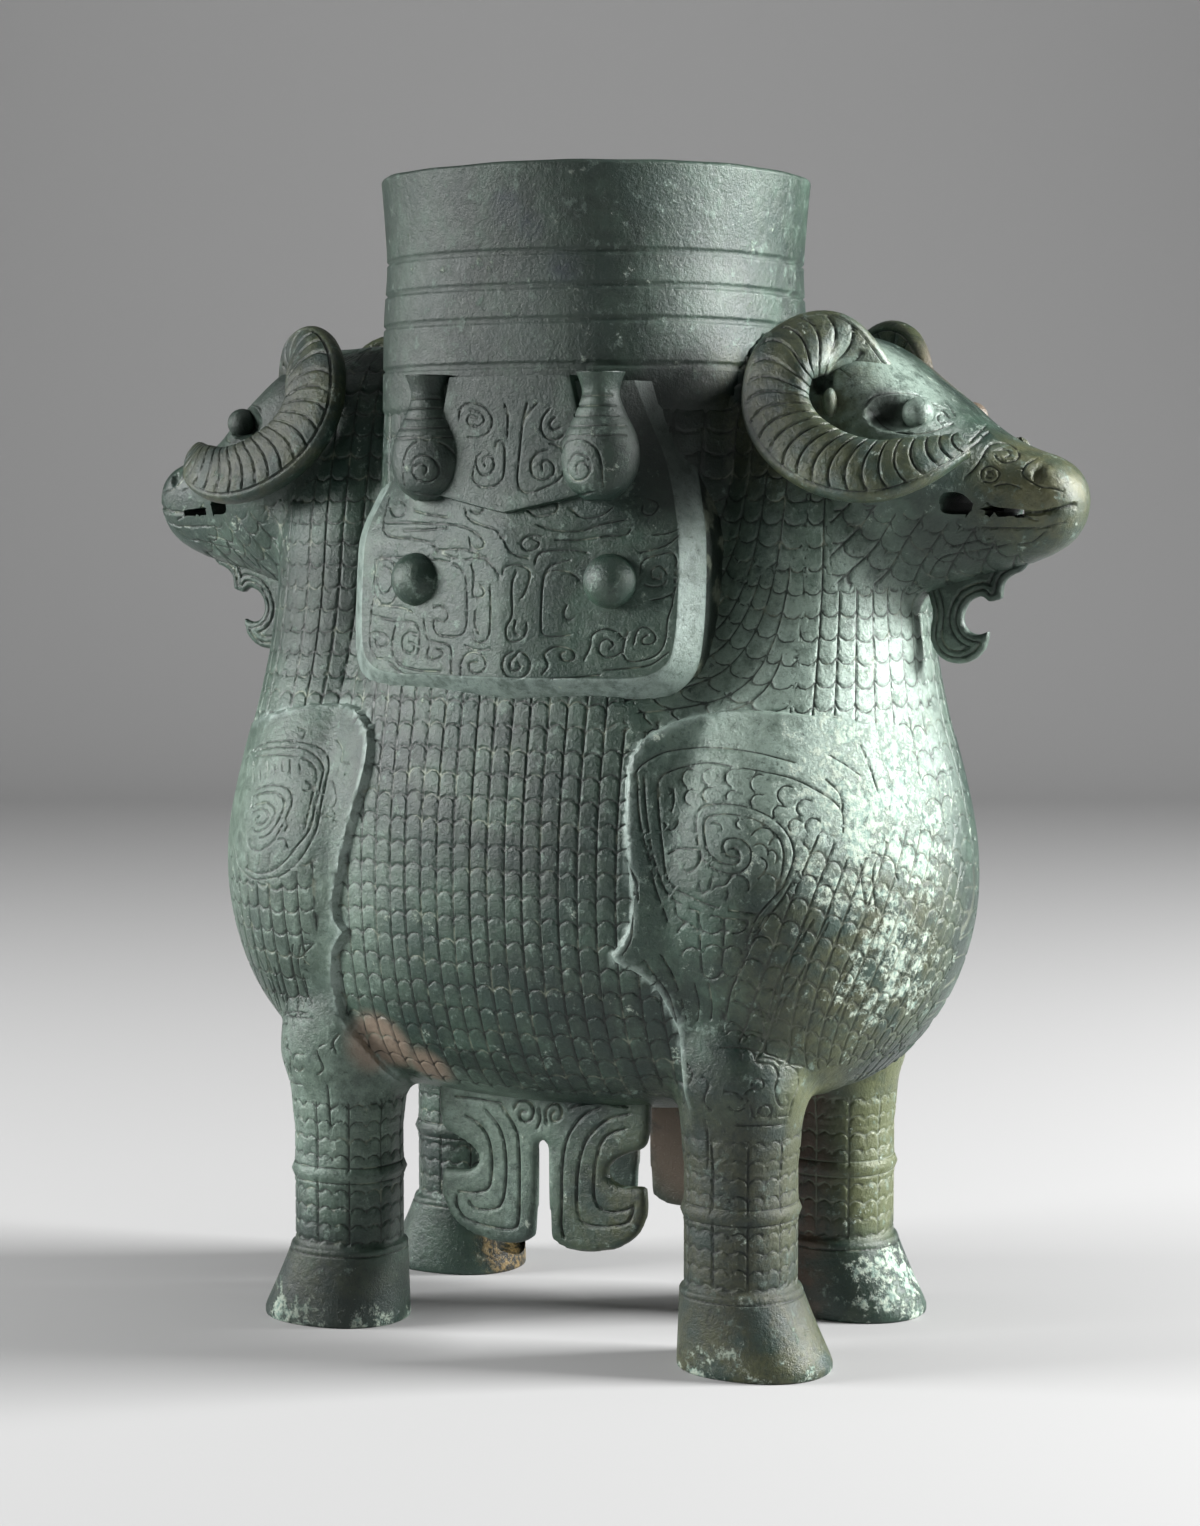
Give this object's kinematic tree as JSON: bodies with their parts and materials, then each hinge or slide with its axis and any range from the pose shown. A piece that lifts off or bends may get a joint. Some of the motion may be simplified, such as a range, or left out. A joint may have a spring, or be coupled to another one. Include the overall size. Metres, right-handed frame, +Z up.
{
  "type": "double ram wine vessel",
  "caption": "Ancient cast bronze wine vessel in the shape of two rams joined back to back, with a flared neck, mask plaques and a scaled body under green patina.",
  "frame": {"origin": "middle of the footprint on the surface that the hooves stand on", "axes": "+X from the middle to one ram's snout, +Y across from side to side, +Z up"},
  "size_m": [0.3849, 0.1771, 0.432],
  "materials": {
    "bronze": "cast bronze under a grey-green patina, with olive and pale green patches"
  },
  "bodies": {
    "root": {"vessel": "bronze"}
  },
  "joints": []
}
